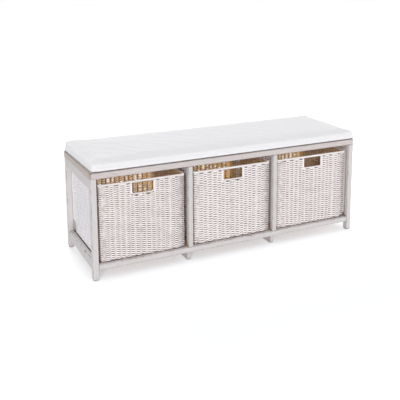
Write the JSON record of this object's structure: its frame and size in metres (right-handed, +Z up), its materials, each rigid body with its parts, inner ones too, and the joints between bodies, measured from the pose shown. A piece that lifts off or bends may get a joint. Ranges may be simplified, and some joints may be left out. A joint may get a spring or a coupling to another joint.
{
  "type": "entryway bench",
  "caption": "Low storage bench with a limed wooden frame, woven end panels, pull-out woven baskets with finger holes under the seat, and a loose seat pad.",
  "frame": {"origin": "on the floor, under the middle of the bench", "axes": "+Z up, +X along the bench to the right as seen from the front, front towards -Y"},
  "size_m": [1.124, 0.359, 0.426],
  "materials": {
    "limed_wood": "matt white wash, worn through to brown at the edges",
    "woven_cord": "plain weave of paper cord, washed white outside",
    "basket_board": "bare thin board",
    "shelf_board": "bare plywood",
    "pad_cover": "plain matt cloth"
  },
  "bodies": {
    "bench_frame": {"centre_support_left": "limed_wood", "centre_support_right": "limed_wood", "divider_rail_left": "limed_wood", "divider_rail_right": "limed_wood", "end_panel_left": "woven_cord", "end_panel_right": "woven_cord", "end_panel_stakes_left": "woven_cord", "end_panel_stakes_right": "woven_cord", "front_bottom_rail": "limed_wood", "front_post_left": "limed_wood", "front_post_right": "limed_wood", "leg_front_left": "limed_wood", "leg_front_right": "limed_wood", "leg_rear_left": "limed_wood", "leg_rear_right": "limed_wood", "rear_bottom_rail": "limed_wood", "rear_post_left": "limed_wood", "rear_post_right": "limed_wood", "shelf_battens": "limed_wood", "shelf_panel_centre": "shelf_board", "shelf_panel_left": "shelf_board", "shelf_panel_right": "shelf_board", "side_cleats": "limed_wood", "side_lower_rail_left": "limed_wood", "side_lower_rail_right": "limed_wood", "side_upper_rail_left": "limed_wood", "side_upper_rail_right": "limed_wood", "top_board": "limed_wood"},
    "seat_cushion": {"seat_cushion": "pad_cover"},
    "basket_left": {"basket_left_base": "basket_board", "basket_left_handle_border": "woven_cord", "basket_left_rim": "woven_cord", "basket_left_stakes": "woven_cord", "basket_left_weave": "woven_cord"},
    "basket_centre": {"basket_centre_base": "basket_board", "basket_centre_handle_border": "woven_cord", "basket_centre_rim": "woven_cord", "basket_centre_stakes": "woven_cord", "basket_centre_weave": "woven_cord"},
    "basket_right": {"basket_right_base": "basket_board", "basket_right_handle_border": "woven_cord", "basket_right_rim": "woven_cord", "basket_right_stakes": "woven_cord", "basket_right_weave": "woven_cord"}
  },
  "joints": [
    {"name": "cushion_lift", "type": "slide", "parent": "bench_frame", "child": "seat_cushion", "axis": [0, 0, 1], "range_m": [0, 0.12]},
    {"name": "basket_left_slide", "type": "slide", "parent": "bench_frame", "child": "basket_left", "axis": [0, -1, 0], "range_m": [0, 0.3]},
    {"name": "basket_centre_slide", "type": "slide", "parent": "bench_frame", "child": "basket_centre", "axis": [0, -1, 0], "range_m": [0, 0.3]},
    {"name": "basket_right_slide", "type": "slide", "parent": "bench_frame", "child": "basket_right", "axis": [0, -1, 0], "range_m": [0, 0.3]}
  ]
}
